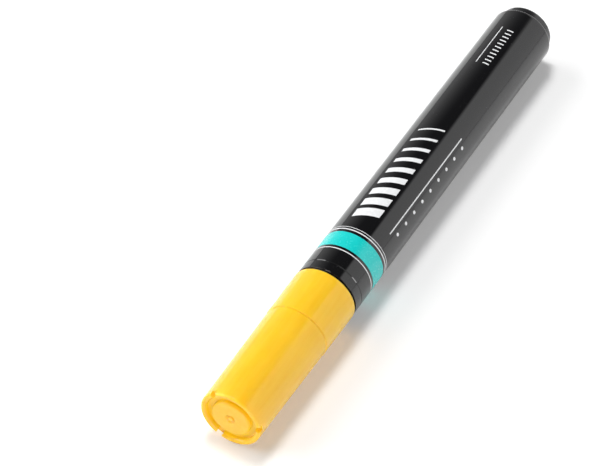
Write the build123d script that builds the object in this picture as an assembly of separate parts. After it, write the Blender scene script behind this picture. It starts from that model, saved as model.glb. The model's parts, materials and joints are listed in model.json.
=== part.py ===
from build123d import *
import os
from math import cos, pi, radians, sin, sqrt

# Liquid chalk marker with a pump valve, lying on a table.
# The marker's axis is along X: the cap is at -X and the tail at +X. Z is up, and the origin is on
# the table, under the middle of the marker. All lengths are in millimetres, all angles in degrees.
# Stations along the axis are counted from the closed end of the cap towards the tail.

# Barrel
barrel_radius = 7.5
barrel_length = 94.5
barrel_wall = 1.05
shoulder_rounding = 0.9
tail_wall = 1.9
tail_wall_length = 6.0
seam_chamfer = 0.14

# Cap, outside
cap_length = 40.0
cap_proud = 0.12
skirt_length = 12.7
skirt_draft = 0.12
skirt_step = 0.07
body_draft = 0.36
groove_width = 0.36
groove_depth = 0.2
rim_rounding = 0.55
mouth_rounding = 0.25
mouth_lip_length = 1.2

# Cap, inside
rim_wall = 1.5
shell_wall = 1.0
mouth_bore_run = 3.5
mouth_lead_in = 0.3
disc_recess = 0.15
disc_thickness = 1.65
disc_rounding = 0.25
air_gap = 1.2
sleeve_wall = 0.8
sleeve_end_room = 1.5
gate_radius = 1.1
gate_depth = 0.3
gate_nub_radius = 0.3
gate_nub_height = 0.2
bridge_count = 3
bridge_width = 1.2
bridge_length = 13.0
notch_width = 1.35
notch_depth = 2.2
notch_roll = -65.0

# Front section
collar_length = 2.87
collar_rounding = 0.15
nose_wall = 0.93
nose_tip_share = 0.57
nose_tip_rounding_share = 0.4
nose_taper_length = 3.0
seal_land_length = 6.5
neck_room = 0.68
neck_rise_length = 1.6
neck_rounding = 0.5
cap_land_length = 6.0
cap_land_rise_length = 0.8
spigot_length = 8.0
spigot_wall = 1.32
spigot_lead_in = 0.5
seat_ledge = 1.0
chamber_end_wall = 0.9
valve_pocket_length = 14.1
flute_count = 4
flute_share = 0.3

# Nib
nib_exposed_length = 6.0
nib_room = 6.2
nib_taper_share = 1.2
nib_shoulder_share = 0.64
nib_point_share = 1.25
nib_tail_room = 6.0
nib_tail_chamfer = 0.4

# Valve
pump_travel = 2.5
seat_thickness = 2.0
orifice_radius = 1.6
orifice_chamfer = 0.3
stem_blade = 0.9
stem_flange_radius = 2.7
stem_flange_thickness = 1.3
stem_flange_rounding = 0.2
guide_pin_radius = 1.15
guide_pin_rounding = 0.4
guide_pin_stop_gap = 0.3
spring_wire_radius = 0.25
spring_coil_radius = 1.85
spring_turns = 6
cage_wall = 0.9
cage_floor = 1.2
cage_flange_rim = 0.7
cage_hole_radius = 0.9
cage_hole_count = 4

# Tail plug
plug_length = 2.3
plug_rounding = 0.65
plug_base_chamfer = 0.1
plug_spigot_length = 7.0
plug_wall = 1.1
plug_lead_in = 0.4

# Mixing ball
ball_radius = 3.0
ball_front_gap = 1.0

# Clearances
mouth_gap = 0.25
cap_fit = 0.08
posting_fit = 0.05
press_fit = 0.03
nib_fit = 0.06
stem_fit = 0.08
spring_seat_gap = 0.05
ball_gap = 0.05
overrun = 1.0

# Stations of the outside
cap_mouth = cap_length
cap_groove = cap_mouth - skirt_length
collar_front = cap_mouth + mouth_gap
collar_rear = collar_front + collar_length
barrel_tail = collar_rear + barrel_length
marker_length = barrel_tail + plug_length

# Stations of the inside, from the cap's end inwards and from the barrel forwards
disc_back = disc_recess + disc_thickness
nib_tip = disc_back + nib_room
nose_tip = nib_tip + nib_exposed_length
seal_front = nose_tip + nose_taper_length
seal_rear = seal_front + seal_land_length
sleeve_end = seal_rear - sleeve_end_room
neck_front = seal_rear + neck_rise_length
land_front = collar_front - cap_land_length
spigot_rear = collar_rear + spigot_length
valve_shoulder = spigot_rear - valve_pocket_length
chamber_front = neck_front + chamber_end_wall
nib_tail = valve_shoulder - nib_tail_room
seat_rear = valve_shoulder + seat_thickness
flange_rear = seat_rear + stem_flange_thickness
guide_pin_end = spigot_rear - pump_travel - guide_pin_stop_gap
cage_rear = spigot_rear + cage_floor

# Radii of the barrel and of what fits in it
barrel_bore_radius = barrel_radius - barrel_wall
tail_bore_radius = barrel_radius - tail_wall
spigot_radius = barrel_bore_radius - press_fit
valve_pocket_radius = spigot_radius - spigot_wall
valve_fit_radius = valve_pocket_radius - press_fit
chamber_radius = valve_pocket_radius - seat_ledge
stem_radius = orifice_radius - stem_fit

# Radii of the cap's shell and of what it goes over
cap_mouth_radius = barrel_radius + cap_proud
cap_groove_radius = cap_mouth_radius - skirt_draft - skirt_step
cap_end_radius = cap_groove_radius - body_draft
mouth_bore_radius = cap_mouth_radius - shell_wall
shell_bore_radius = cap_groove_radius - shell_wall
plug_radius = mouth_bore_radius - posting_fit
cap_land_radius = mouth_bore_radius - cap_fit
neck_radius = shell_bore_radius - neck_room

# Radii from the cap's sleeve inwards to the nib, and the nib's taper
sleeve_radius = cap_end_radius - rim_wall - air_gap
sleeve_bore_radius = sleeve_radius - sleeve_wall
seal_land_radius = sleeve_bore_radius - cap_fit
nib_bore_radius = seal_land_radius - nose_wall
nib_radius = nib_bore_radius - nib_fit
nose_tip_wall = nose_tip_share * nose_wall
nib_shoulder_radius = nib_shoulder_share * nib_radius
nib_taper_length = nib_taper_share * nib_radius

# The widest part of the marker, the cap's mouth, lies on the table
axis_height = cap_mouth_radius


def turned(*corners):
    """A solid turned about the marker's axis. A corner is a station, a radius and perhaps a rounding."""
    points = [corner[:2] for corner in corners]
    roundings = [sum(corner[2:]) for corner in corners]
    outline = FilletPolyline(*points, radius=roundings, close=True)
    return revolve(make_face(outline), Axis.X)


def around(piece, count, first_angle=0):
    """Copies of a piece, evenly spaced about the marker's axis."""
    return [Rot(X=first_angle + turn * 360 / count) * piece for turn in range(count)]


def bar(start, end, inner, outer, width):
    """A straight bar along the axis, standing out from it along +Y from one radius to another."""
    place = Pos((start + end) / 2, (inner + outer) / 2, 0)
    return place * Box(end - start, outer - inner, width)


def rod(start, end, radius, distance=0):
    """A round rod along the axis, set off from it along +Y."""
    return Pos((start + end) / 2, distance, 0) * Rot(Y=90) * Cylinder(radius, end - start)


def make_cap():
    """Tapered shell with an open end, and the closed sleeve that seals the nib, joined by bridges."""
    bore_front = land_front - mouth_bore_run
    shell = turned(
        (0, cap_end_radius, rim_rounding),
        (cap_groove, cap_groove_radius),
        (cap_groove + groove_width / 2, cap_groove_radius - groove_depth),
        (cap_groove + groove_width, cap_groove_radius + skirt_step),
        (cap_mouth - mouth_lip_length, cap_mouth_radius),
        (cap_mouth, cap_mouth_radius, mouth_rounding),
        (cap_mouth, mouth_bore_radius + mouth_lead_in),
        (cap_mouth - mouth_lead_in, mouth_bore_radius),
        (bore_front, mouth_bore_radius),
        (bore_front, shell_bore_radius),
        (0, cap_end_radius - rim_wall, rim_rounding),
    )
    sleeve = turned(
        (disc_recess, 0),
        (disc_recess, sleeve_radius, disc_rounding),
        (sleeve_end, sleeve_radius),
        (sleeve_end, sleeve_bore_radius + sleeve_wall / 2),
        (sleeve_end - sleeve_wall / 2, sleeve_bore_radius),
        (disc_back, sleeve_bore_radius, sleeve_wall),
        (disc_back, 0),
    )
    bridge = bar(
        notch_depth,
        notch_depth + bridge_length,
        sleeve_radius - sleeve_wall / 2,
        cap_end_radius - rim_wall / 2,
        bridge_width,
    )
    notch = bar(-overrun, notch_depth, sleeve_radius, cap_end_radius + overrun, notch_width)
    gate_floor = disc_recess + gate_depth
    gate = rod(disc_recess - overrun, gate_floor, gate_radius)
    gate_nub = rod(gate_floor - gate_nub_height, gate_floor + gate_depth, gate_nub_radius)
    # The shell's seam is turned to the top, away from the line that the marker lies on
    cap = Rot(X=90) * shell + sleeve + around(bridge, bridge_count, notch_roll)
    return cap - around(notch, bridge_count, notch_roll) - gate + gate_nub


def make_barrel():
    """Ink tube with a chamfered front edge, a rounded shoulder and a narrower bore for the tail plug."""
    tail_step = barrel_tail - tail_wall_length
    return turned(
        (collar_rear, barrel_bore_radius),
        (collar_rear, barrel_radius - seam_chamfer),
        (collar_rear + seam_chamfer, barrel_radius),
        (barrel_tail, barrel_radius, shoulder_rounding),
        (barrel_tail, tail_bore_radius),
        (tail_step, tail_bore_radius),
        (tail_step, barrel_bore_radius),
    )


def make_rear_plug():
    """Hollow plug pressed into the tail, with a head that the cap's mouth can be posted on."""
    spigot = tail_bore_radius - press_fit
    spigot_front = barrel_tail - plug_spigot_length
    return turned(
        (marker_length, 0),
        (marker_length, plug_radius, plug_rounding),
        (barrel_tail + plug_base_chamfer, plug_radius),
        (barrel_tail, plug_radius - plug_base_chamfer),
        (barrel_tail, spigot),
        (spigot_front + plug_lead_in, spigot),
        (spigot_front, spigot - plug_lead_in),
        (spigot_front, spigot - plug_wall),
        (barrel_tail, spigot - plug_wall, plug_wall),
        (barrel_tail, 0),
    )


def make_front_section():
    """Nose, cap seat and collar in one moulding, with the nib's guide, ink chamber and valve pocket."""
    section = turned(
        (nose_tip, nib_bore_radius),
        (nose_tip, nib_bore_radius + nose_tip_wall, nose_tip_rounding_share * nose_tip_wall),
        (seal_front, seal_land_radius),
        (seal_rear, seal_land_radius, neck_rounding),
        (neck_front, neck_radius, neck_rounding),
        (land_front - cap_land_rise_length, neck_radius),
        (land_front, cap_land_radius, neck_rounding),
        (collar_front, cap_land_radius),
        (collar_front, barrel_radius, collar_rounding),
        (collar_rear - seam_chamfer, barrel_radius),
        (collar_rear, barrel_radius - seam_chamfer),
        (collar_rear, spigot_radius),
        (spigot_rear - spigot_lead_in, spigot_radius),
        (spigot_rear, spigot_radius - spigot_lead_in),
        (spigot_rear, valve_pocket_radius),
        (valve_shoulder, valve_pocket_radius),
        (valve_shoulder, chamber_radius),
        (chamber_front, chamber_radius),
        (chamber_front, nib_bore_radius),
    )
    flute = rod(nose_tip - overrun, chamber_front + overrun, flute_share * nose_wall, nib_bore_radius)
    return section - around(flute, flute_count)


def make_nib():
    """Bullet nib: a straight shaft, a short taper and a rounded point."""
    return turned(
        (nib_tip, 0),
        (nib_tip, nib_shoulder_radius, nib_point_share * nib_shoulder_radius),
        (nib_tip + nib_taper_length, nib_radius),
        (nib_tail - nib_tail_chamfer, nib_radius),
        (nib_tail, nib_radius - nib_tail_chamfer),
        (nib_tail, 0),
    )


def make_valve_seat():
    """Soft ring at the bottom of the valve pocket, with the orifice that the stem closes."""
    return turned(
        (valve_shoulder, orifice_radius + orifice_chamfer),
        (valve_shoulder, valve_fit_radius),
        (seat_rear, valve_fit_radius),
        (seat_rear, orifice_radius),
        (valve_shoulder + orifice_chamfer, orifice_radius),
    )


def make_valve_stem():
    """Cross-shaped shaft that the nib pushes, sealing flange, and the pin that guides the spring."""
    blade = bar(nib_tail, seat_rear + stem_flange_thickness / 2, -stem_radius, stem_radius, stem_blade)
    flange = turned(
        (seat_rear, 0),
        (seat_rear, stem_flange_radius),
        (flange_rear, stem_flange_radius, stem_flange_rounding),
        (flange_rear, guide_pin_radius),
        (guide_pin_end, guide_pin_radius, guide_pin_rounding),
        (guide_pin_end, 0),
    )
    return flange + blade + Rot(X=90) * blade


def helix_point(angle, start, pitch):
    """A point on the spring's centre line, at an angle in radians from the first one."""
    return Vector(
        start + pitch * angle / (2 * pi),
        spring_coil_radius * cos(angle),
        spring_coil_radius * sin(angle),
    )


def helix_tangent(angle, pitch):
    """The direction of the spring's centre line at an angle in radians."""
    rise = pitch / (2 * pi)
    return Vector(rise, -spring_coil_radius * sin(angle), spring_coil_radius * cos(angle)).normalized()


def two_arcs(first, first_way, last, last_way):
    """Two arcs that leave one point in its direction and reach another in its own."""
    step = last - first
    ways = first_way + last_way
    bend = 2 * (1 - first_way.dot(last_way))
    along = step.dot(ways)
    reach = (sqrt(along * along + bend * step.dot(step)) - along) / bend
    near = first + first_way * reach
    far = last - last_way * reach
    middle = (near + far) / 2
    return [
        TangentArc(first, middle, tangent=first_way),
        TangentArc(middle, last, tangent=(far - near).normalized()),
    ]


def make_valve_spring():
    """Compression spring of round wire between the stem's flange and the floor of the cage."""
    start = flange_rear + spring_seat_gap + spring_wire_radius
    end = spigot_rear - spring_seat_gap - spring_wire_radius
    pitch = (end - start) / spring_turns
    quarter = radians(90)
    arcs = []
    for step in range(spring_turns * 4):
        arcs += two_arcs(
            helix_point(step * quarter, start, pitch),
            helix_tangent(step * quarter, pitch),
            helix_point((step + 1) * quarter, start, pitch),
            helix_tangent((step + 1) * quarter, pitch),
        )
    print("valve_spring: least gap between turns", round(pitch - 2 * spring_wire_radius, 2), "mm")
    path = Wire([arc.edge() for arc in arcs])
    section = Plane(origin=path @ 0, z_dir=path % 0) * Circle(spring_wire_radius)
    return sweep(section, path=path)


def make_valve_cage():
    """Cup that holds the seat, the stem and the spring, with a perforated floor that lets ink in."""
    bore = valve_fit_radius - cage_wall
    cage = turned(
        (seat_rear, bore),
        (seat_rear, valve_fit_radius),
        (spigot_rear, valve_fit_radius),
        (spigot_rear, valve_fit_radius + cage_flange_rim),
        (cage_rear, valve_fit_radius + cage_flange_rim),
        (cage_rear, 0),
        (spigot_rear, 0),
        (spigot_rear, bore),
    )
    hole_ring = (bore + spring_coil_radius + spring_wire_radius) / 2
    hole = rod(spigot_rear - overrun, cage_rear + overrun, cage_hole_radius, hole_ring)
    return cage - around(hole, cage_hole_count)


def make_mixing_ball():
    """Steel ball that lies at the bottom of the bore, just behind the valve."""
    station = cage_rear + ball_front_gap + ball_radius
    depth = barrel_bore_radius - ball_gap - ball_radius
    return Pos(station, 0, -depth) * Sphere(ball_radius)


pieces = {
    "cap": make_cap(),
    "barrel": make_barrel(),
    "rear_plug": make_rear_plug(),
    "front_section": make_front_section(),
    "nib": make_nib(),
    "valve_seat": make_valve_seat(),
    "valve_stem": make_valve_stem(),
    "valve_spring": make_valve_spring(),
    "valve_cage": make_valve_cage(),
    "mixing_ball": make_mixing_ball(),
}

lying = Pos(-marker_length / 2, 0, axis_height)
os.makedirs("parts", exist_ok=True)
for name, piece in pieces.items():
    export_step(lying * piece, f"parts/{name}.step")
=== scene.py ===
"""A capped liquid chalk marker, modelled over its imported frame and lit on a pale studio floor."""

import json
from math import atan2, ceil, cos, hypot, pi, radians, sin, tan

import bmesh
import bpy
from bpy.props import FloatProperty, FloatVectorProperty, IntProperty, PointerProperty
from bpy.types import Operator, Panel, PropertyGroup
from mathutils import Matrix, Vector


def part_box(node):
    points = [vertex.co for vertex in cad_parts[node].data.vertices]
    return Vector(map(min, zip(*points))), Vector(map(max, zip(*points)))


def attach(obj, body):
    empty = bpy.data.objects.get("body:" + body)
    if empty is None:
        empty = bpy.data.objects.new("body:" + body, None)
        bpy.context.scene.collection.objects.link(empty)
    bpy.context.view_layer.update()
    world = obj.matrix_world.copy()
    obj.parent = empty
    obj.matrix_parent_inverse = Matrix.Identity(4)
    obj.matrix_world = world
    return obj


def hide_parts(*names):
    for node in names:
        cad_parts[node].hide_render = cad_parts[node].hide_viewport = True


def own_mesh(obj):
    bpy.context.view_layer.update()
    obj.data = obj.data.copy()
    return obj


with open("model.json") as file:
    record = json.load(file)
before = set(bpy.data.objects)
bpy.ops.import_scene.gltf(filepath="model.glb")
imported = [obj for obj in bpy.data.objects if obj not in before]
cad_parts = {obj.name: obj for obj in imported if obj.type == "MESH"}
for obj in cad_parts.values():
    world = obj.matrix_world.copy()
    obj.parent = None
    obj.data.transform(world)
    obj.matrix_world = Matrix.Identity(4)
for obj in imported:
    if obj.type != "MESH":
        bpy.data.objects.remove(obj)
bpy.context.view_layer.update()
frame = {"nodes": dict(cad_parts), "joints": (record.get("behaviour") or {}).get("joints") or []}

bl_info = {
    "name": "Liquid chalk marker",
    "version": (1, 0, 0),
    "blender": (4, 5, 0),
    "location": "View3D > Sidebar > Marker",
    "description": "Models a capped liquid chalk marker with a pump valve over its packed frame",
    "category": "Add Mesh",
}

MM = 0.001

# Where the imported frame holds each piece: the axis runs along X, from the cap's end to the tail
CAP_LOW, CAP_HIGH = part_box("cap")
BARREL_LOW, BARREL_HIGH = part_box("barrel")
PLUG_LOW, PLUG_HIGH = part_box("rear_plug")
SECTION_LOW, SECTION_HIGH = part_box("front_section")
NIB_LOW, NIB_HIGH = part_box("nib")
SPRING_LOW, SPRING_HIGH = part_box("valve_spring")
AXIS_HEIGHT = 7.62 * MM

# How finely round shapes are divided
SHELL_STEPS = 192
PLUG_STEPS = 160
NIB_STEPS = 128
FLUTE_SIDES = 31
WIRE_SIDES = 16
COIL_STEPS = 48
FLOOR_SIDES = 96
ROUNDING_STEP = radians(11)
LEAST_SEGMENTS = 3
SMOOTH_ANGLE = radians(32)

# Small lengths that help to put a mesh together
SEED_SIZE = 0.1 * MM
LONG_RUN = 0.8 * MM
RING_INSET = 0.1 * MM
MERGE_DISTANCE = 0.0005 * MM
PICK_DISTANCE = 0.001 * MM
OVERRUN = 1.0 * MM

# Where most values of a noise lie
NOISE_LOW, NOISE_HIGH = 0.3, 0.7

# Where a Mix node for colours has its factor, its two colours and their mix
MIX_FACTOR, MIX_FIRST, MIX_SECOND, MIX_RESULT = 0, 6, 7, 2

WHITE = (1.0, 1.0, 1.0, 1.0)


def length(name, description, size):
    """A size that a user may change: written in millimetres here, and kept in metres."""
    return FloatProperty(
        name=name, description=description, default=size * MM, min=0.0, unit="LENGTH", precision=5
    )


def colour(name, description, rgb):
    """A colour that a user may change."""
    return FloatVectorProperty(
        name=name, description=description, default=rgb, min=0.0, max=1.0, size=3, subtype="COLOR"
    )


def count(name, description, number, least, most):
    """A number of like things that a user may change."""
    return IntProperty(name=name, description=description, default=number, min=least, max=most)


def power(name, description, watts):
    """A lamp's power that a user may change."""
    return FloatProperty(name=name, description=description, default=watts, unit="POWER")


class CapSizes(PropertyGroup):
    """Sizes and colour of the cap."""

    end_radius: length("End radius", "Outer radius at the notched end", 7.07)
    groove_radius: length("Groove radius", "Outer radius in front of the groove", 7.43)
    skirt_radius: length("Skirt radius", "Outer radius where the skirt begins", 7.50)
    mouth_radius: length("Mouth radius", "Outer radius at the mouth, the marker's widest", 7.62)
    skirt_length: length("Skirt length", "Length of the glossy skirt", 12.7)
    groove_width: length("Groove width", "Width of the groove before the skirt", 0.36)
    groove_depth: length("Groove depth", "Depth of the groove before the skirt", 0.2)
    wall: length("Wall", "Wall at the groove and at the mouth", 1.0)
    seat_depth: length("Seat depth", "Depth of the wider bore at the mouth", 9.25)
    lip_length: length("Lip length", "Length of the straight lip at the mouth", 1.2)
    lip_rounding: length("Lip rounding", "Rounding of the mouth's outer edge", 0.25)
    lip_chamfer: length("Lip chamfer", "Chamfer of the mouth's inner edge", 0.3)
    rim_wall: length("Rim wall", "Wall of the rim at the notched end", 1.25)
    rim_slope: length("Rim slope", "Rounding of the rim's inner edge", 0.7)
    rim_foot: length("Rim foot", "Rounding between the rim and the channel's floor", 0.3)
    disc_recess: length("Disc recess", "How far the closed end lies inside the rim", 0.15)
    disc_thickness: length("Disc thickness", "Thickness of the sleeve's closed end", 1.65)
    end_rounding: length("End rounding", "Outer rounding of the rim and the closed end", 0.5)
    sleeve_radius: length("Sleeve radius", "Outer radius of the inner sleeve", 4.5)
    sleeve_wall: length("Sleeve wall", "Wall of the inner sleeve", 0.8)
    sleeve_end: length("Sleeve length", "How far the sleeve reaches from the cap's end", 22.0)
    notch_width: length("Notch width", "Width of the notches in the rim", 1.35)
    notch_depth: length("Notch depth", "Depth of the notches in the rim", 1.15)
    notch_reach: length("Notch reach", "How far the notches reach into the channel", 0.3)
    bridge_width: length("Bridge width", "Width of the bridges that hold the sleeve", 1.2)
    bridge_length: length("Bridge length", "Length of the bridges behind the channel", 13.0)
    bridge_drop: length("Bridge drop", "How far the bridges lie below the notches", 0.05)
    channel_depth: length("Channel depth", "Depth of the channel inside the rim", 1.28)
    channel_floor: length("Channel floor", "Thickness of the channel's floor", 1.3)
    gate_radius: length("Gate radius", "Radius of the dish in the closed end", 1.2)
    gate_depth: length("Gate depth", "Depth of the dish in the closed end", 0.5)
    fine_rounding: length("Fine rounding", "Rounding of the dish's edge and sleeve's foot", 0.15)
    dish_rounding: length("Dish rounding", "Rounding of the dish's floor", 0.12)
    nub_rounding: length("Nub rounding", "Rounding of the nub in the dish", 0.25)
    notch_roll: FloatProperty(
        name="Notch roll", description="First notch's angle", default=radians(-65), subtype="ANGLE"
    )
    notches: count("Notches", "Number of notches and bridges", 3, 2, 6)
    yellow: colour("Yellow", "Colour of the cap's plastic", (0.98, 0.54, 0.022))


class BarrelSizes(PropertyGroup):
    """Sizes and colours of the barrel and the tail plug."""

    radius: length("Radius", "Outer radius of the barrel and the collar", 7.5)
    bore: length("Bore", "Inner radius of the barrel", 6.45)
    tail_bore: length("Tail bore", "Inner radius where the plug sits", 5.6)
    tail_length: length("Tail length", "Length of the narrower bore", 6.0)
    shoulder: length("Shoulder rounding", "Rounding of the barrel's tail", 0.9)
    seam: length("Seam chamfer", "Chamfer on both sides of the seam", 0.14)
    plug_radius: length("Plug radius", "Outer radius of the plug's head", 6.57)
    plug_rounding: length("Plug rounding", "Rounding of the plug's head", 0.65)
    plug_chamfer: length("Plug chamfer", "Chamfer of the head at the tail", 0.1)
    plug_wall: length("Plug wall", "Wall of the plug's hollow spigot", 1.1)
    plug_lead_in: length("Plug lead-in", "Chamfer on the front of the spigot", 0.4)
    plug_clearance: length("Plug clearance", "Room between the spigot and its bore", 0.03)
    black: colour("Black", "Colour of the glossy black plastic", (0.0065, 0.0065, 0.0072))
    band: colour("Band", "Colour of the printed ring band", (0.0, 0.58, 0.55))
    white: colour("White", "Colour of the printed bars and lines", (0.80, 0.81, 0.82))


class SectionSizes(PropertyGroup):
    """Sizes of the front section, from the nose to the spigot in the barrel."""

    nose_radius: length("Nose radius", "Outer radius at the nose's tip", 3.09)
    nose_rounding: length("Nose rounding", "Rounding of the nose's tip", 0.21)
    nose_taper: length("Nose taper", "Length over which the nose widens", 3.0)
    seal_radius: length("Seal radius", "Radius of the land that the cap seals on", 3.49)
    seal_length: length("Seal length", "Length of the land that the cap seals on", 6.5)
    seal_rounding: length("Seal rounding", "Rounding between the nose and that land", 0.6)
    neck_rise: length("Neck rise", "Length of the cone up to the neck", 1.6)
    neck_radius: length("Neck radius", "Outer radius of the neck", 5.75)
    neck_rounding: length("Neck rounding", "Rounding of the steps to neck and cap land", 0.5)
    land_rise: length("Land rise", "Length of the slope up to the cap land", 0.8)
    land_foot: length("Land foot", "Rounding at the foot of that slope", 0.3)
    land_radius: length("Land radius", "Radius of the land that holds the cap", 6.54)
    land_length: length("Land length", "Length of the land that holds the cap", 6.0)
    collar_length: length("Collar length", "Length of the collar before the seam", 2.87)
    collar_rounding: length("Collar rounding", "Rounding of the collar's front edge", 0.08)
    gap_width: length("Gap width", "Width of the gap behind the cap's mouth", 0.3)
    gap_depth: length("Gap depth", "Depth of the gap behind the cap's mouth", 0.4)
    spigot_radius: length("Spigot radius", "Outer radius of the spigot", 6.42)
    lead_in: length("Lead-in", "Chamfer on the rear of the spigot", 0.5)
    pocket_radius: length("Pocket radius", "Inner radius of the valve's pocket", 5.1)
    pocket_length: length("Pocket length", "Length of the valve's pocket", 14.1)
    chamber_radius: length("Chamber radius", "Inner radius of the ink chamber", 4.1)
    guide_length: length("Guide length", "Length of the nib's guide", 12.0)
    guide_bore: length("Guide bore", "Inner radius of the nib's guide", 2.56)
    flute_radius: length("Flute radius", "Radius of the ink flutes round the nib", 0.279)
    flutes: count("Flutes", "Number of ink flutes round the nib", 4, 1, 8)


class NibSizes(PropertyGroup):
    """Sizes and colours of the fibre nib."""

    radius: length("Radius", "Radius of the nib's shaft", 2.5)
    shoulder: length("Shoulder radius", "Radius that the taper runs down to", 1.6)
    taper: length("Taper length", "Length of the tapered end", 3.0)
    taper_rounding: length("Taper rounding", "Rounding between taper and shaft", 1.2)
    point: length("Point rounding", "Rounding of the nib's point", 2.0)
    chamfer: length("Chamfer", "Chamfer on the rear of the shaft", 0.4)
    fibre: colour("Fibre", "Colour of the dry fibre", (0.80, 0.77, 0.68))
    pigment: colour("Pigment", "Colour of the ink that has soaked in", (0.93, 0.56, 0.03))


class ValveSizes(PropertyGroup):
    """Sizes and colours of the pump valve and the mixing ball."""

    wire: length("Wire radius", "Radius of the spring's wire", 0.25)
    coil: length("Coil radius", "Radius of the spring at the middle of its wire", 1.85)
    turns: count("Turns", "Turns of the spring", 6, 2, 20)
    white: colour("White", "Colour of the valve's plastic", (0.82, 0.82, 0.79))
    rubber: colour("Rubber", "Colour of the soft seat", (0.66, 0.65, 0.60))
    steel: colour("Steel", "Colour of the spring and the ball", (0.62, 0.61, 0.59))


class StageSizes(PropertyGroup):
    """Floor, lamps and camera."""

    floor_radius: length("Floor radius", "Radius of the round floor", 4000.0)
    floor: colour("Floor", "Colour of the floor", (0.84, 0.84, 0.84))
    glow: FloatProperty(name="Glow", description="Glow of the floor", default=0.16, min=0.0)
    key_power: power("Key light", "Power of the soft lamp overhead", 9.3)
    left_power: power("Left light", "Power of the soft box on the left", 17.0)
    front_power: power("Front light", "Power of the low soft box off the cap's end", 4.4)
    sky: FloatProperty(name="Sky", description="Strength of the surroundings", default=1.0, min=0.0)
    focal_length: FloatProperty(
        name="Focal length", description="Camera's lens", default=150.55, subtype="DISTANCE_CAMERA"
    )


class Socket:
    """An output of a node, with the arithmetic of shader values as Python operators."""

    def __init__(self, tree, socket):
        self.tree = tree
        self.socket = socket

    def node(self, kind, settings=None, inputs=None, output=0):
        """Adds a node: its settings first, then the values or links of its sockets."""
        made = self.tree.nodes.new(kind)
        for name, value in (settings or {}).items():
            setattr(made, name, value)
        for name, value in (inputs or {}).items():
            if isinstance(value, Socket):
                self.tree.links.new(value.socket, made.inputs[name])
            else:
                made.inputs[name].default_value = value
        return Socket(self.tree, made.outputs[output])

    def maths(self, operation, *values):
        """A Math node with the values in the order given."""
        return self.node("ShaderNodeMath", {"operation": operation}, dict(enumerate(values)))

    def __add__(self, other):
        return self.maths("ADD", self, other)

    def __sub__(self, other):
        return self.maths("SUBTRACT", self, other)

    def __rsub__(self, other):
        return self.maths("SUBTRACT", other, self)

    def __mul__(self, other):
        return self.maths("MULTIPLY", self, other)

    def __truediv__(self, other):
        return self.maths("DIVIDE", self, other)

    def __rtruediv__(self, other):
        return self.maths("DIVIDE", other, self)

    def __pow__(self, other):
        return self.maths("POWER", self, other)

    def __abs__(self):
        return self.maths("ABSOLUTE", self)

    __radd__ = __add__
    __rmul__ = __mul__

    def split(self, pitch):
        """How many whole pitches the value holds, and what is left of it."""
        pitches = self / pitch
        number = self.maths("FLOOR", pitches)
        return number, (pitches - number) * pitch

    def between(self, low, high):
        """0 at the low value, 1 at the high one, and straight between them."""
        inputs = {"Value": self, "From Min": low, "From Max": high}
        return self.node("ShaderNodeMapRange", {"clamp": True}, inputs)

    def past(self, edge, soft):
        """1 where the value is past an edge, with a soft border."""
        return self.between(edge - soft / 2, edge + soft / 2)

    def within(self, low, high, soft):
        """1 where the value lies between two edges, with soft borders."""
        return self.past(low, soft) * (1 - self.past(high, soft))

    def near(self, middle, reach, soft):
        """1 where the value lies within reach of a middle, with a soft border."""
        return (reach - abs(self - middle)).past(0, soft)

    def mix(self, first, second):
        """The first colour where this mask is 0, and the second where it is 1."""
        inputs = {MIX_FACTOR: self}
        for place, shade in ((MIX_FIRST, first), (MIX_SECOND, second)):
            inputs[place] = shade if isinstance(shade, Socket) else (*shade, 1.0)
        return self.node("ShaderNodeMix", {"data_type": "RGBA"}, inputs, MIX_RESULT)

    def shades(self, dark, pale):
        """Two colours, mixed by this noise."""
        return self.between(NOISE_LOW, NOISE_HIGH).mix(dark, pale)

    def axes(self):
        """The three parts of these coordinates."""
        inputs = {"Vector": self}
        return [self.node("ShaderNodeSeparateXYZ", {}, inputs, axis) for axis in range(3)]

    def stretched(self, scale):
        """These coordinates, scaled along each axis."""
        inputs = {"Vector": self, "Scale": scale}
        return self.node("ShaderNodeMapping", {"vector_type": "POINT"}, inputs)

    def noise(self, scale, detail=3.0, roughness=0.6):
        """Noise on these coordinates, from 0 to 1."""
        inputs = {"Vector": self, "Scale": scale, "Detail": detail, "Roughness": roughness}
        return self.node("ShaderNodeTexNoise", {"noise_dimensions": "3D"}, inputs)

    def cells(self, scale):
        """How far these coordinates lie from the middle of their Voronoi cell."""
        inputs = {"Vector": self, "Scale": scale}
        return self.node("ShaderNodeTexVoronoi", {"feature": "F1"}, inputs)

    def bump(self, depth, strength):
        """A normal from these heights, which are shares of a depth in millimetres."""
        inputs = {"Height": self, "Distance": depth * MM, "Strength": strength}
        return self.node("ShaderNodeBump", {}, inputs)


class Finish:
    """A material in the making: its Principled shader, and the object's own coordinates."""

    def __init__(self, name, **constants):
        self.material = bpy.data.materials.new(name)
        self.material.use_nodes = True
        tree = self.material.node_tree
        self.shader = next(n for n in tree.nodes if n.type == "BSDF_PRINCIPLED")
        self.point = Socket(tree, None).node("ShaderNodeTexCoord", output="Object")
        self.x, self.y, self.z = self.point.axes()
        for setting, value in constants.items():
            self.input(setting).default_value = value

    def input(self, name):
        """The shader's input with a name, written as a Python name."""
        return self.shader.inputs[name.replace("_", " ").title().replace("Ior", "IOR")]

    def feed(self, **values):
        """Links values that change over the surface to the shader."""
        for name, value in values.items():
            self.material.node_tree.links.new(value.socket, self.input(name))
        return self

    def station(self, low):
        """Millimetres along the marker's axis from a place on it."""
        return (self.x - low) / MM

    def radius(self):
        """Millimetres from the marker's axis."""
        height = self.z - AXIS_HEIGHT
        return (self.y * self.y + height * height) ** 0.5 / MM

    def roll(self):
        """The angle about the marker's axis in radians, from the top towards -Y."""
        return self.x.maths("ARCTAN2", 0 - self.y, self.z - AXIS_HEIGHT)


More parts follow.
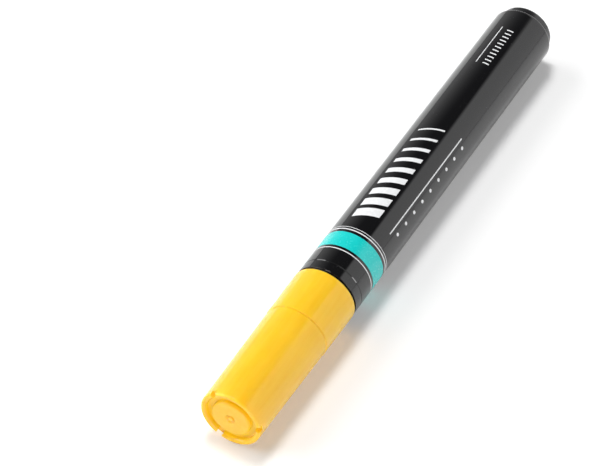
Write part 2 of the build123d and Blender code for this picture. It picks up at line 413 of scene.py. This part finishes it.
def tint(base, share):
    """A colour with each part multiplied by a share."""
    return tuple(share * part for part in base)


def activate(piece):
    """Makes a piece the active one, and the only one selected."""
    bpy.ops.object.select_all(action="DESELECT")
    bpy.context.view_layer.objects.active = piece
    piece.select_set(True)


def settle(name):
    """Names the primitive added last, and applies its place and size to its mesh."""
    bpy.ops.object.transform_apply(location=True, rotation=True, scale=True)
    piece = bpy.context.object
    piece.name = piece.data.name = name
    return piece


def select(piece, kind, test):
    """In edit mode, selects the corners or edges that pass a test and nothing else."""
    bpy.ops.mesh.select_mode(type=kind)
    bpy.ops.mesh.select_all(action="DESELECT")
    mesh = bmesh.from_edit_mesh(piece.data)
    for part in {"VERT": mesh.verts, "EDGE": mesh.edges}[kind]:
        if test(part):
            part.select_set(True)
    bmesh.update_edit_mesh(piece.data)


def trims(corners, closed):
    """How much each rounded corner takes off the runs that meet in it, and how far it turns."""
    taken = []
    for place, corner in enumerate(corners):
        rounding = sum(corner[2:])
        inner = closed or 0 < place < len(corners) - 1
        if not rounding or not inner:
            taken.append((0.0, 0.0))
            continue
        before = corners[place - 1]
        after = corners[(place + 1) % len(corners)]
        way_in = atan2(corner[1] - before[1], corner[0] - before[0])
        way_out = atan2(after[1] - corner[1], after[0] - corner[0])
        turn = abs((way_out - way_in + pi) % (2 * pi) - pi)
        taken.append((rounding * tan(turn / 2), turn))
    return taken


def ringed(corners, taken, closed):
    """The outline through the corners, with a ring near both ends of each long run."""
    outline = []
    for place in range(len(corners) if closed else len(corners) - 1):
        after = (place + 1) % len(corners)
        x, radius = corners[place][:2]
        way_x, way_out = corners[after][0] - x, corners[after][1] - radius
        outline.append((x, radius))
        run = hypot(way_x, way_out)
        trim, next_trim = taken[place][0], taken[after][0]
        if run - trim - next_trim > LONG_RUN:
            # These rings keep the shading of a long run straight
            for distance in (trim + RING_INSET, run - next_trim - RING_INSET):
                outline.append((x + way_x * distance / run, radius + way_out * distance / run))
    outline.append(corners[0][:2] if closed else corners[-1][:2])
    return outline


def turned(name, corners, steps, closed=True):
    """A solid turned about the axis. A corner has a place along X, a radius, maybe a rounding."""
    taken = trims(corners, closed)
    outline = ringed(corners, taken, closed)
    x, radius = outline[0]
    bpy.ops.mesh.primitive_plane_add(size=SEED_SIZE, location=(x, 0, AXIS_HEIGHT + radius))
    piece = settle(name)
    bpy.ops.object.mode_set(mode="EDIT")
    bpy.ops.mesh.select_all(action="SELECT")
    bpy.ops.mesh.merge(type="CENTER")
    for (x, radius), (next_x, next_radius) in zip(outline, outline[1:]):
        step = (next_x - x, 0, next_radius - radius)
        bpy.ops.mesh.extrude_vertices_move(TRANSFORM_OT_translate={"value": step})
    bpy.ops.mesh.select_all(action="SELECT")
    bpy.ops.mesh.remove_doubles(threshold=MERGE_DISTANCE)
    for corner, (trim, turn) in zip(corners, taken):
        if trim:
            place = Vector((corner[0], 0, AXIS_HEIGHT + corner[1]))
            select(piece, "VERT", lambda v: (v.co - place).length < PICK_DISTANCE)
            segments = max(LEAST_SEGMENTS, ceil(turn / ROUNDING_STEP))
            bpy.ops.mesh.bevel(offset=trim, segments=segments, affect="VERTICES")
    bpy.ops.mesh.select_all(action="SELECT")
    bpy.ops.mesh.spin(steps=steps, angle=2 * pi, center=(0, 0, AXIS_HEIGHT), axis=(1, 0, 0))
    bpy.ops.mesh.select_all(action="SELECT")
    bpy.ops.mesh.remove_doubles(threshold=MERGE_DISTANCE)
    bpy.ops.mesh.normals_make_consistent(inside=False)
    bpy.ops.object.mode_set(mode="OBJECT")
    return piece


def beside_axis(start, end, distance, roll):
    """The middle of a run along the axis, moved off it at an angle from +Y."""
    return ((start + end) / 2, distance * cos(roll), AXIS_HEIGHT + distance * sin(roll))


def bar(name, run, reach, width, roll):
    """A bar with its two ends along the axis and its two distances from it, at an angle from +Y."""
    bpy.ops.mesh.primitive_cube_add(
        size=1,
        location=beside_axis(*run, sum(reach) / 2, roll),
        rotation=(roll, 0, 0),
        scale=(run[1] - run[0], reach[1] - reach[0], width),
    )
    return settle(name)


def rod(name, run, radius, distance, roll):
    """A round rod with its two ends along the axis and a distance from it, at an angle from +Y."""
    bpy.ops.mesh.primitive_cylinder_add(
        vertices=FLUTE_SIDES,
        radius=radius,
        depth=run[1] - run[0],
        location=beside_axis(*run, distance, roll),
        rotation=(0, pi / 2, 0),
    )
    return settle(name)


def combine(piece, tools, operation):
    """Adds tools to a piece or cuts them from it one by one, and removes them."""
    for tool in tools:
        activate(piece)
        cut = piece.modifiers.new("combine", "BOOLEAN")
        cut.operation = operation
        cut.solver = "EXACT"
        cut.object = tool
        bpy.ops.object.modifier_apply(modifier=cut.name)
        bpy.data.objects.remove(tool)


def finished(piece, body, node, finish):
    """Shades a piece, gives it its material and sets it in the frame in place of a node."""
    activate(piece)
    bpy.ops.object.shade_smooth_by_angle(angle=SMOOTH_ANGLE)
    whole = bmesh.new()
    whole.from_mesh(piece.data)
    gaps = sum(1 for edge in whole.edges if len(edge.link_faces) != 2)
    volume = whole.calc_volume(signed=True)
    whole.free()
    if gaps or volume <= 0:
        raise RuntimeError(f"{piece.name} isn't a closed solid: {gaps} open edges, volume {volume}")
    piece.data.materials.clear()
    piece.data.materials.append(finish.material)
    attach(piece, body)
    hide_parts(node)


def cap_plastic(sizes):
    """Yellow plastic that lets some light in: satin on the long part, polished on the skirt, with
    painted light in the end's channel.
    """
    finish = Finish(
        "cap_plastic",
        ior=1.49,
        subsurface_weight=0.6,
        subsurface_scale=2.2 * MM,
        subsurface_radius=(0.8, 0.7, 0.1),
    )
    station = finish.station(CAP_LOW.x)
    groove = (CAP_HIGH.x - sizes.skirt_length - CAP_LOW.x + sizes.groove_width / 2) / MM
    skirt = station.past(groove, soft=0.05)
    grain = finish.point.noise(5200)
    flow = finish.point.stretched((0.12, 1.0, 1.0)).noise(900, roughness=0.55)
    smudge = finish.point.noise(210, detail=4.0)

    red, green, blue = sizes.yellow
    deep = (0.97 * red, 0.93 * green, 0.8 * blue)
    pale = (min(1.0, 1.01 * red), min(1.0, 1.05 * green), 1.6 * blue)
    skin = (flow * 0.7 + smudge * 0.3).shades(deep, pale)
    # Painted light: the end's channel is painted a paler yellow, standing in for light let through
    # its thin walls
    inner, outer = sizes.sleeve_radius / MM, (sizes.end_radius - sizes.rim_wall) / MM
    channel = finish.radius().within(inner - 0.02, outer + 0.1, soft=0.1)
    channel = channel * station.within(0.35, 3.0, soft=0.3)
    painted_light_yellow = (red, 1.2 * green, blue)

    satin = 0.1 + 0.06 * grain + 0.03 * smudge
    polished = 0.08 + 0.06 * smudge.between(0.4, 0.75)
    relief = grain * (1 - 0.93 * skirt) + 0.25 * flow
    return finish.feed(
        base_color=channel.mix(skin, painted_light_yellow),
        roughness=satin * (1 - skirt) + polished * skirt,
        normal=relief.bump(depth=0.006, strength=0.5),
    )


def black_skin(finish, sizes, bare=1.0):
    """Colour, roughness and height of glossy black, with smudges, and with specks where bare."""
    flow = finish.point.stretched((0.35, 1.0, 1.0)).noise(420, detail=2.0, roughness=0.4)
    smudge = finish.point.noise(130, detail=4.0, roughness=0.62)
    patches = finish.point.noise(260, detail=1.0, roughness=0.5).past(0.62, soft=0.04)
    specks = finish.point.cells(1500).between(0.16, 0.05) * patches * bare
    ground = specks.mix(sizes.black, tint(sizes.black, 4.0))
    gloss = 0.045 + 0.05 * smudge.between(0.45, 0.8) + 0.25 * specks
    return ground, gloss, flow + 0.2 * specks


def gloss_black(sizes):
    """Glossy black plastic with a slight flow in its skin and a few dull smudges."""
    finish = Finish("gloss_black", ior=1.62)
    ground, gloss, relief = black_skin(finish, sizes)
    normal = relief.bump(depth=0.006, strength=0.35)
    return finish.feed(base_color=ground, roughness=gloss, normal=normal)


def barrel_print(along, arc):
    """Masks of a generic print: a ring band, and rings, bars, lines, dots and ticks in white."""
    # The layout in millimetres along the barrel and round it
    soft = 0.05
    band_start, band_end = 5.2, 9.8
    ring_places = ((10.6, 10.9), (11.4, 11.55), (4.25, 4.5))
    start, pitch = 16.0, 3.9
    bar_middle, bar_reach, bar_slant = -0.4, 2.9, 0.38
    bar_border, bar_width, bar_thinning, last_bar = 0.05, 2.7, 0.27, 8
    line_end, line_middle, line_reach = 50.6, 6.6, 0.14
    dots_end, dot_middle, dot_radius = 51.1, 8.3, 0.42
    tail_start, tail_end = 73.0, 87.0
    tick_pitch, tick_start, tick_end, tick_middle, tick_reach = 1.3, 0.1, 0.45, 0.4, 0.8
    tail_line_middle, tail_line_reach = -2.0, 0.1

    band = along.within(band_start, band_end, soft)
    rings = sum(along.within(low, high, soft) for low, high in ring_places)

    number, across = (along - start - bar_slant * (arc - bar_middle)).split(pitch)
    width = bar_width - bar_thinning * number
    bars = across.past(bar_border, soft) * (width - across).past(0, soft)
    bars = bars * number.within(-0.5, last_bar + 0.5, soft=0.01)
    bars = bars * arc.near(bar_middle, bar_reach, soft)

    line = along.within(start, line_end, soft) * arc.near(line_middle, line_reach, soft)
    dot_along = (along - start).split(pitch)[1] - pitch / 2
    dot_across = arc - dot_middle
    dot = dot_radius - (dot_along * dot_along + dot_across * dot_across) ** 0.5
    dots = dot.past(0, soft) * along.within(start, dots_end, soft)

    tail = along.within(tail_start, tail_end, soft)
    tick = (along - tail_start).split(tick_pitch)[1].within(tick_start, tick_end, soft)
    ticks = tick * tail * arc.near(tick_middle, tick_reach, soft)
    tail_line = tail * arc.near(tail_line_middle, tail_line_reach, soft)
    white = (rings + bars + line + dots + ticks + tail_line).between(0.0, 1.0)
    return band, white


def printed_black(sizes):
    """The barrel's glossy black with a generic print, and with a shoulder that is rubbed dull."""
    finish = Finish("printed_black", ior=1.62)
    along = finish.station(BARREL_LOW.x)
    band, white = barrel_print(along, finish.roll() * (sizes.radius / MM))
    ink = (white + band).between(0.0, 1.0)
    worn = finish.point.noise(1900, roughness=0.65)
    kept = 1 - 0.25 * worn.past(0.74, soft=0.05)
    ground, gloss, relief = black_skin(finish, sizes, bare=1 - ink)
    teal = worn.shades(tint(sizes.band, 0.95), sizes.band)
    chalk = worn.shades(tint(sizes.white, 0.93), sizes.white)
    rubbed = along.past((BARREL_HIGH.x - BARREL_LOW.x) / MM - 0.55, soft=0.5)
    gloss = gloss + 0.35 * rubbed
    return finish.feed(
        base_color=(white * kept).mix((band * kept).mix(ground, teal), chalk),
        roughness=gloss * (1 - ink) + ink * (0.2 + 0.12 * worn),
        normal=(relief + 0.9 * ink).bump(depth=0.006, strength=0.35),
    )


def satin_black(sizes):
    """Black plastic with a fine moulded grain, for the tail plug."""
    finish = Finish("satin_black", ior=1.68)
    grain = finish.point.noise(5200)
    smudge = finish.point.noise(300)
    return finish.feed(
        base_color=smudge.shades(tint(sizes.black, 1.2), tint(sizes.black, 1.9)),
        roughness=0.09 + 0.06 * grain + 0.05 * smudge,
        normal=grain.bump(depth=0.006, strength=0.4),
    )


def nib_fibre(sizes):
    """Bonded fibres along the nib, soaked with pigment from the point backwards."""
    finish = Finish("nib_fibre", ior=1.45, sheen_weight=0.25, sheen_roughness=0.5)
    strands = finish.point.stretched((0.05, 1.0, 1.0)).noise(9000)
    bundles = finish.point.stretched((0.08, 1.0, 1.0)).cells(5200)
    blotch = finish.point.noise(900)
    depth = finish.station(NIB_LOW.x) + 2.4 * (blotch - 0.5) + 1.2 * (strands - 0.5)
    soaked = 1 - depth.between(3.6, 7.4)
    dry = strands.shades(tint(sizes.fibre, 0.82), sizes.fibre)
    wet = strands.shades(tint(sizes.pigment, 0.86), sizes.pigment)
    return finish.feed(
        base_color=soaked.mix(dry, wet),
        roughness=0.92 - 0.3 * soaked * blotch,
        normal=(strands + 0.5 * bundles).bump(depth=0.05, strength=0.8),
    )


def valve_plastic(sizes):
    """Natural white polypropylene, a little see-through at its edges."""
    finish = Finish("valve_plastic", ior=1.49, subsurface_weight=0.3, subsurface_scale=1.0 * MM)
    cloud = finish.point.noise(700, roughness=0.55)
    grain = finish.point.noise(4200, detail=2.0)
    return finish.feed(
        base_color=cloud.shades(tint(sizes.white, 0.93), sizes.white),
        roughness=0.32 + 0.16 * grain,
        normal=grain.bump(depth=0.01, strength=0.4),
    )


def seat_rubber(sizes):
    """Soft natural rubber with a dull skin."""
    finish = Finish("seat_rubber", ior=1.42)
    grain = finish.point.noise(6000)
    cloud = finish.point.noise(600, roughness=0.55)
    return finish.feed(
        base_color=cloud.shades(tint(sizes.rubber, 0.8), sizes.rubber),
        roughness=0.62 + 0.2 * grain,
        normal=grain.bump(depth=0.015, strength=0.5),
    )


def drawn_steel(sizes):
    """Drawn spring wire, with fine lines round the coil."""
    finish = Finish("drawn_steel", metallic=1.0)
    lines = finish.point.stretched((1.0, 0.12, 0.12)).noise(14000)
    cloud = finish.point.noise(1200, roughness=0.55)
    return finish.feed(
        base_color=cloud.shades(tint(sizes.steel, 0.78), sizes.steel),
        roughness=0.2 + 0.2 * lines,
        normal=lines.bump(depth=0.006, strength=0.5),
    )


def ball_steel(sizes):
    """Ground steel with a haze of fine scratches and traces of pigment."""
    finish = Finish("ball_steel", metallic=1.0)
    scratches = finish.point.stretched((0.3, 1.0, 1.6)).noise(5200, detail=4.0, roughness=0.7)
    film = finish.point.noise(420, detail=4.0).past(0.6, soft=0.12)
    return finish.feed(
        base_color=film.mix(sizes.steel, tint(sizes.steel, 0.85)),
        roughness=0.1 + 0.14 * scratches + 0.2 * film,
        normal=scratches.bump(depth=0.003, strength=0.4),
    )


def floor_paper(sizes):
    """Pale paper with a slight glow, for what the camera, gloss and glass see of it."""
    finish = Finish("floor_paper", ior=1.4, specular_ior_level=0.1)
    tooth = finish.point.noise(900, detail=2.0, roughness=0.5)
    tone = finish.point.noise(3.0, detail=2.0, roughness=0.5)
    rays = ("Is Camera Ray", "Is Glossy Ray", "Is Transmission Ray")
    seen = sum(finish.point.node("ShaderNodeLightPath", output=ray) for ray in rays)
    strength = seen.between(0.0, 1.0) * sizes.glow
    glow = finish.point.node("ShaderNodeEmission", {}, {"Color": WHITE, "Strength": strength})
    tree = finish.material.node_tree
    paper = Socket(tree, finish.shader.outputs[0])
    both = finish.point.node("ShaderNodeAddShader", {}, {0: paper, 1: glow})
    ending = next(n for n in tree.nodes if n.type == "OUTPUT_MATERIAL")
    tree.links.new(both.socket, ending.inputs["Surface"])
    shade = tone.shades(tint(sizes.floor, 0.995), sizes.floor)
    return finish.feed(base_color=shade, roughness=0.85 + 0.1 * tooth)


class MARKER_OT_stage(Operator):
    """Lays the pale floor and sets up the lamps, the surroundings and the camera"""

    bl_idname = "marker.stage"
    bl_label = "Stage"

    def execute(self, context):
        scene = context.scene
        sizes = scene.marker_stage
        scene.view_settings.view_transform = "Standard"
        self.lay_floor(sizes)
        self.surround(scene, sizes)
        for name, place, target, size, watts in (
            ("key_light", (0.22, 0.27, 1.18), (0, 0, 0), (0.36, 0.36), sizes.key_power),
            ("left_box", (-0.35, 1.10, 0.78), (0, 0, 0), (1.4, 1.0), sizes.left_power),
            ("front_box", (-1.09, -0.76, 0.20), (-0.06, 0, 0), (0.7, 0.36), sizes.front_power),
        ):
            self.lamp(name, place, target, size, watts)
        self.set_camera(scene, sizes)
        return {"FINISHED"}

    @staticmethod
    def lay_floor(sizes):
        """A round floor: a disc under the marker and a ring round it."""
        inset_share = 0.8
        bpy.ops.mesh.primitive_circle_add(
            vertices=FLOOR_SIDES, radius=sizes.floor_radius, fill_type="NGON", location=(0, 0, 0)
        )
        floor = settle("studio_floor")
        bpy.ops.object.mode_set(mode="EDIT")
        bpy.ops.mesh.select_all(action="SELECT")
        bpy.ops.mesh.inset(thickness=inset_share * sizes.floor_radius)
        bpy.ops.object.mode_set(mode="OBJECT")
        floor.data.materials.append(floor_paper(sizes).material)

    @staticmethod
    def surround(scene, sizes):
        """A wall on the left that fades upwards, and a white card with a clear top on the right."""
        wall_level, wall_top = 0.52, 0.73
        card_level, card_gain, card_top, card_border = 0.7, 0.3, 0.68, 0.05
        tail_edge, tail_border = 0.3, 0.3
        side_border, least_level = 0.2, 0.01

        world = bpy.data.worlds.new("studio")
        scene.world = world
        world.use_nodes = True
        tree = world.node_tree
        way = Socket(tree, None).node("ShaderNodeTexCoord", output="Generated")
        along, across, height = way.axes()
        rise = height.between(0.0, wall_top)
        wall = wall_level * (1 - rise * rise)
        # The card is brightest behind the tail
        card = card_level + card_gain * along.past(tail_edge, tail_border)
        card = (1 - height.past(card_top, card_border)) * card
        on_right = (0 - across).past(0.0, side_border)
        level = wall * (1 - on_right) + card * on_right + least_level
        background = next(n for n in tree.nodes if n.type == "BACKGROUND")
        background.inputs["Color"].default_value = WHITE
        tree.links.new((level * sizes.sky).socket, background.inputs["Strength"])

    @staticmethod
    def lamp(name, place, target, size, watts):
        """A soft rectangular lamp that faces a target."""
        light = bpy.data.lights.new(name, "AREA")
        light.shape = "RECTANGLE"
        light.size, light.size_y = size
        light.energy = watts
        holder = bpy.data.objects.new(name, light)
        bpy.context.scene.collection.objects.link(holder)
        holder.location = place
        way = Vector(target) - Vector(place)
        holder.rotation_euler = way.to_track_quat("-Z", "Y").to_euler()

    @staticmethod
    def set_camera(scene, sizes):
        """The camera at the photograph's viewing angle."""
        eye = bpy.data.cameras.new("camera")
        eye.lens = sizes.focal_length
        eye.sensor_width = 36.0
        camera = bpy.data.objects.new("camera", eye)
        scene.collection.objects.link(camera)
        camera.location = (-0.35276, -0.17551, 0.40299)
        camera.rotation_euler = (radians(44.33), 0, radians(-60.66))
        scene.camera = camera


class MARKER_OT_cap(Operator):
    """Turns the cap with its inner sleeve, cuts the notches and adds the bridges behind them"""

    bl_idname = "marker.cap"
    bl_label = "Cap"

    def execute(self, context):
        sizes = context.scene.marker_cap
        nub_share, dish_share = 0.42, 0.64
        end, mouth = CAP_LOW.x, CAP_HIGH.x
        disc = end + sizes.disc_recess
        gate_floor = disc + sizes.gate_depth
        disc_back = disc + sizes.disc_thickness
        channel = end + sizes.channel_depth
        channel_back = channel + sizes.channel_floor
        sleeve_end = end + sizes.sleeve_end
        sleeve_bore = sizes.sleeve_radius - sizes.sleeve_wall
        sleeve_middle = sizes.sleeve_wall / 2
        rim_bore = sizes.end_radius - sizes.rim_wall
        groove = mouth - sizes.skirt_length
        seat = mouth - sizes.seat_depth
        shell_bore = sizes.groove_radius - sizes.wall
        mouth_bore = sizes.mouth_radius - sizes.wall
        cap = turned(
            "marker_cap",
            [
                (disc, 0),
                (disc, nub_share * sizes.gate_radius, sizes.nub_rounding),
                (gate_floor, dish_share * sizes.gate_radius, sizes.dish_rounding),
                (disc, sizes.gate_radius, sizes.fine_rounding),
                (disc, sizes.sleeve_radius, sizes.end_rounding),
                (channel, sizes.sleeve_radius, sizes.fine_rounding),
                (channel, rim_bore, sizes.rim_foot),
                (end, rim_bore, sizes.rim_slope),
                (end, sizes.end_radius, sizes.end_rounding),
                (groove, sizes.groove_radius),
                (groove + sizes.groove_width / 2, sizes.groove_radius - sizes.groove_depth),
                (groove + sizes.groove_width, sizes.skirt_radius),
                (mouth - sizes.lip_length, sizes.mouth_radius),
                (mouth, sizes.mouth_radius, sizes.lip_rounding),
                (mouth, mouth_bore + sizes.lip_chamfer),
                (mouth - sizes.lip_chamfer, mouth_bore),
                (seat, mouth_bore),
                (seat, shell_bore),
                (channel_back, rim_bore),
                (channel_back, sizes.sleeve_radius),
                (sleeve_end, sizes.sleeve_radius),
                (sleeve_end, sleeve_bore + sleeve_middle),
                (sleeve_end - sleeve_middle, sleeve_bore),
                (disc_back, sleeve_bore, sizes.sleeve_wall),
                (disc_back, 0),
            ],
            SHELL_STEPS,
            closed=False,
        )
        notch_floor = end + sizes.notch_depth
        rolls = [sizes.notch_roll + 2 * pi * turn / sizes.notches for turn in range(sizes.notches)]
        run = (end - OVERRUN, notch_floor)
        reach = (rim_bore - sizes.notch_reach, sizes.end_radius + OVERRUN)
        notches = [bar("notch", run, reach, sizes.notch_width, roll) for roll in rolls]
        combine(cap, notches, "DIFFERENCE")
        run = (notch_floor + sizes.bridge_drop, channel_back + sizes.bridge_length)
        reach = (sizes.sleeve_radius - sleeve_middle, rim_bore + sizes.rim_wall / 2)
        bridges = [bar("bridge", run, reach, sizes.bridge_width, roll) for roll in rolls]
        combine(cap, bridges, "UNION")
        finished(cap, "cap", "cap", cap_plastic(sizes))
        return {"FINISHED"}


class MARKER_OT_barrel(Operator):
    """Turns the barrel with its seam chamfer, rounded shoulder and stepped bore"""

    bl_idname = "marker.barrel"
    bl_label = "Barrel"

    def execute(self, context):
        sizes = context.scene.marker_barrel
        front, tail = BARREL_LOW.x, BARREL_HIGH.x
        step = tail - sizes.tail_length
        barrel = turned(
            "marker_barrel",
            [
                (front, sizes.bore),
                (front, sizes.radius - sizes.seam),
                (front + sizes.seam, sizes.radius),
                (tail, sizes.radius, sizes.shoulder),
                (tail, sizes.tail_bore),
                (step, sizes.tail_bore),
                (step, sizes.bore),
            ],
            SHELL_STEPS,
        )
        finished(barrel, "holder", "barrel", printed_black(sizes))
        return {"FINISHED"}


class MARKER_OT_rear_plug(Operator):
    """Turns the hollow plug in the barrel's tail"""

    bl_idname = "marker.rear_plug"
    bl_label = "Tail plug"

    def execute(self, context):
        sizes = context.scene.marker_barrel
        front, tail, end = PLUG_LOW.x, BARREL_HIGH.x, PLUG_HIGH.x
        spigot = sizes.tail_bore - sizes.plug_clearance
        spigot_bore = spigot - sizes.plug_wall
        plug = turned(
            "marker_plug",
            [
                (end, 0),
                (end, sizes.plug_radius, sizes.plug_rounding),
                (tail + sizes.plug_chamfer, sizes.plug_radius),
                (tail, sizes.plug_radius - sizes.plug_chamfer),
                (tail, spigot),
                (front + sizes.plug_lead_in, spigot),
                (front, spigot - sizes.plug_lead_in),
                (front, spigot_bore),
                (tail, spigot_bore, sizes.plug_wall),
                (tail, 0),
            ],
            PLUG_STEPS,
            closed=False,
        )
        finished(plug, "holder", "rear_plug", satin_black(sizes))
        return {"FINISHED"}


class MARKER_OT_front_section(Operator):
    """Turns the front section with its collar, cap land and nose, and cuts the ink flutes"""

    bl_idname = "marker.front_section"
    bl_label = "Front section"

    def execute(self, context):
        sizes = context.scene.marker_section
        barrel = context.scene.marker_barrel
        nose, rear, seam = SECTION_LOW.x, SECTION_HIGH.x, BARREL_LOW.x
        seal = nose + sizes.nose_taper
        seal_end = seal + sizes.seal_length
        collar = seam - sizes.collar_length
        land = collar - sizes.land_length
        gap_end, gap_radius = collar + sizes.gap_width, barrel.radius - sizes.gap_depth
        pocket = rear - sizes.pocket_length
        guide_end = nose + sizes.guide_length
        section = turned(
            "marker_section",
            [
                (nose, sizes.guide_bore),
                (nose, sizes.nose_radius, sizes.nose_rounding),
                (seal, sizes.seal_radius, sizes.seal_rounding),
                (seal_end, sizes.seal_radius, sizes.neck_rounding),
                (seal_end + sizes.neck_rise, sizes.neck_radius, sizes.neck_rounding),
                (land - sizes.land_rise, sizes.neck_radius, sizes.land_foot),
                (land, sizes.land_radius, sizes.neck_rounding),
                (collar, sizes.land_radius),
                (collar, gap_radius),
                (gap_end, gap_radius),
                (gap_end, barrel.radius, sizes.collar_rounding),
                (seam - barrel.seam, barrel.radius),
                (seam, barrel.radius - barrel.seam),
                (seam, sizes.spigot_radius),
                (rear - sizes.lead_in, sizes.spigot_radius),
                (rear, sizes.spigot_radius - sizes.lead_in),
                (rear, sizes.pocket_radius),
                (pocket, sizes.pocket_radius),
                (pocket, sizes.chamber_radius),
                (guide_end, sizes.chamber_radius),
                (guide_end, sizes.guide_bore),
            ],
            SHELL_STEPS,
        )
        run = (nose - OVERRUN, guide_end + OVERRUN)
        rolls = [2 * pi * turn / sizes.flutes for turn in range(sizes.flutes)]
        flutes = [rod("flute", run, sizes.flute_radius, sizes.guide_bore, roll) for roll in rolls]
        combine(section, flutes, "DIFFERENCE")
        finished(section, "holder", "front_section", gloss_black(barrel))
        return {"FINISHED"}


class MARKER_OT_nib(Operator):
    """Turns the bullet nib"""

    bl_idname = "marker.nib"
    bl_label = "Nib"

    def execute(self, context):
        sizes = context.scene.marker_nib
        tip, tail = NIB_LOW.x, NIB_HIGH.x
        nib = turned(
            "marker_nib",
            [
                (tip, 0),
                (tip, sizes.shoulder, sizes.point),
                (tip + sizes.taper, sizes.radius, sizes.taper_rounding),
                (tail - sizes.chamfer, sizes.radius),
                (tail, sizes.radius - sizes.chamfer),
                (tail, 0),
            ],
            NIB_STEPS,
            closed=False,
        )
        finished(nib, "nib", "nib", nib_fibre(sizes))
        return {"FINISHED"}


class MARKER_OT_valve(Operator):
    """Winds the valve's spring, and finishes the seat, the stem, the cage and the mixing ball"""

    bl_idname = "marker.valve"
    bl_label = "Valve and ball"

    def execute(self, context):
        sizes = context.scene.marker_valve
        spring = self.wind_spring(sizes)
        finished(spring, "holder", "valve_spring", drawn_steel(sizes))
        travel = next(j for j in frame["joints"] if j["name"] == "nib_press")["range_m"][1]
        whole = SPRING_HIGH.x - SPRING_LOW.x
        (whole - travel) / whole
        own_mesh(spring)
        plastic = valve_plastic(sizes).material
        for node, material in (
            ("valve_stem", plastic),
            ("valve_cage", plastic),
            ("valve_seat", seat_rubber(sizes).material),
            ("mixing_ball", ball_steel(sizes).material),
        ):
            mesh = frame["nodes"][node].data
            mesh.materials.clear()
            mesh.materials.append(material)
        return {"FINISHED"}

    @staticmethod
    def wind_spring(sizes):
        """A coil of round wire with closed ends."""
        start, end = SPRING_LOW.x + sizes.wire, SPRING_HIGH.x - sizes.wire
        bpy.ops.mesh.primitive_circle_add(
            vertices=WIRE_SIDES, radius=sizes.wire, location=(0, sizes.coil, 0)
        )
        spring = settle("marker_spring")
        wind = spring.modifiers.new("wind", "SCREW")
        wind.axis = "X"
        wind.angle = 2 * pi
        wind.screw_offset = (end - start) / sizes.turns
        wind.iterations = sizes.turns
        wind.steps = wind.render_steps = COIL_STEPS
        bpy.ops.object.modifier_apply(modifier=wind.name)
        bpy.ops.object.mode_set(mode="EDIT")
        half = (end - start) / 2
        for rear in (False, True):
            select(spring, "EDGE", lambda e: e.is_boundary and (e.verts[0].co.x > half) == rear)
            bpy.ops.mesh.edge_face_add()
        bpy.ops.mesh.select_all(action="SELECT")
        bpy.ops.mesh.normals_make_consistent(inside=False)
        bpy.ops.transform.translate(value=(start, 0, AXIS_HEIGHT))
        bpy.ops.object.mode_set(mode="OBJECT")
        return spring


class MARKER_PT_sidebar(Panel):
    """The marker's steps, and the sizes and colours that they read."""

    bl_idname = "MARKER_PT_sidebar"
    bl_label = "Liquid chalk marker"
    bl_space_type = "VIEW_3D"
    bl_region_type = "UI"
    bl_category = "Marker"

    def draw(self, context):
        for step in STEPS:
            self.layout.operator(step.bl_idname)
        for name in GROUPS:
            box = self.layout.box()
            group = getattr(context.scene, name)
            for size in group.bl_rna.properties:
                if size.identifier not in ("rna_type", "name"):
                    box.prop(group, size.identifier)


STEPS = (
    MARKER_OT_stage,
    MARKER_OT_cap,
    MARKER_OT_barrel,
    MARKER_OT_rear_plug,
    MARKER_OT_front_section,
    MARKER_OT_nib,
    MARKER_OT_valve,
)
GROUPS = {
    "marker_cap": CapSizes,
    "marker_barrel": BarrelSizes,
    "marker_section": SectionSizes,
    "marker_nib": NibSizes,
    "marker_valve": ValveSizes,
    "marker_stage": StageSizes,
}


def register():
    """Adds the size groups, the steps and the panel to Blender."""
    for kind in (*GROUPS.values(), *STEPS, MARKER_PT_sidebar):
        bpy.utils.register_class(kind)
    for name, kind in GROUPS.items():
        setattr(bpy.types.Scene, name, PointerProperty(type=kind))


def unregister():
    """Takes them out again."""
    for name in GROUPS:
        delattr(bpy.types.Scene, name)
    for kind in reversed((*GROUPS.values(), *STEPS, MARKER_PT_sidebar)):
        bpy.utils.unregister_class(kind)


def main():
    """Registers the add-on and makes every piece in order."""
    register()
    bpy.ops.marker.stage()
    bpy.ops.marker.cap()
    bpy.ops.marker.barrel()
    bpy.ops.marker.rear_plug()
    bpy.ops.marker.front_section()
    bpy.ops.marker.nib()
    bpy.ops.marker.valve()


if __name__ == "__main__":
    main()
